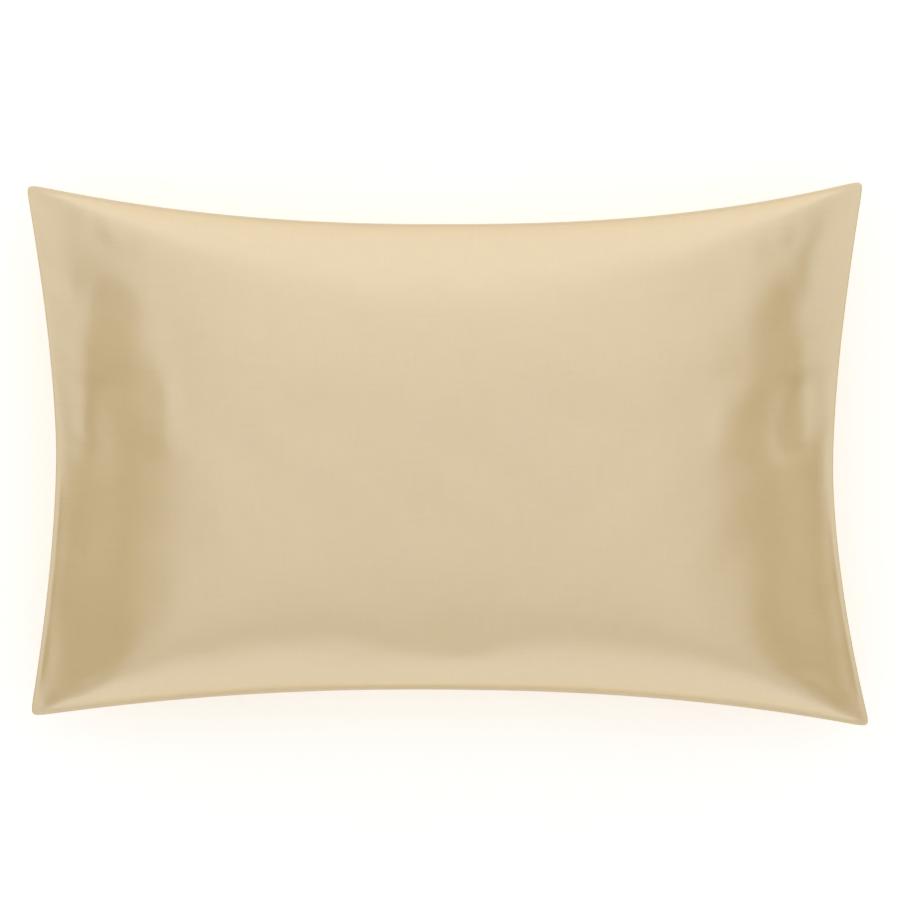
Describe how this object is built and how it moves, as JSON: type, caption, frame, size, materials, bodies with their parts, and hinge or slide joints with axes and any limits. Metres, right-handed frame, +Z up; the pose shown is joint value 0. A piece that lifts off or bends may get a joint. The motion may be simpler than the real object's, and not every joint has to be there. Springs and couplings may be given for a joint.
{
  "type": "filled satin pillowcase",
  "caption": "Plump rectangular pillowcase of plain gold satin, drawn in between its pointed corners, lying on its back to rest or cushion a head.",
  "frame": {"origin": "on the floor, under the middle of the outline's bounding box", "axes": "+X along the long side, +Y along the short side, +Z up out of the front panel"},
  "size_m": [0.741, 0.479, 0.1672],
  "materials": {
    "satin": "smooth champagne-gold satin with a soft sheen along its floats"
  },
  "bodies": {
    "root": {"pillowcase": "satin"}
  },
  "joints": []
}
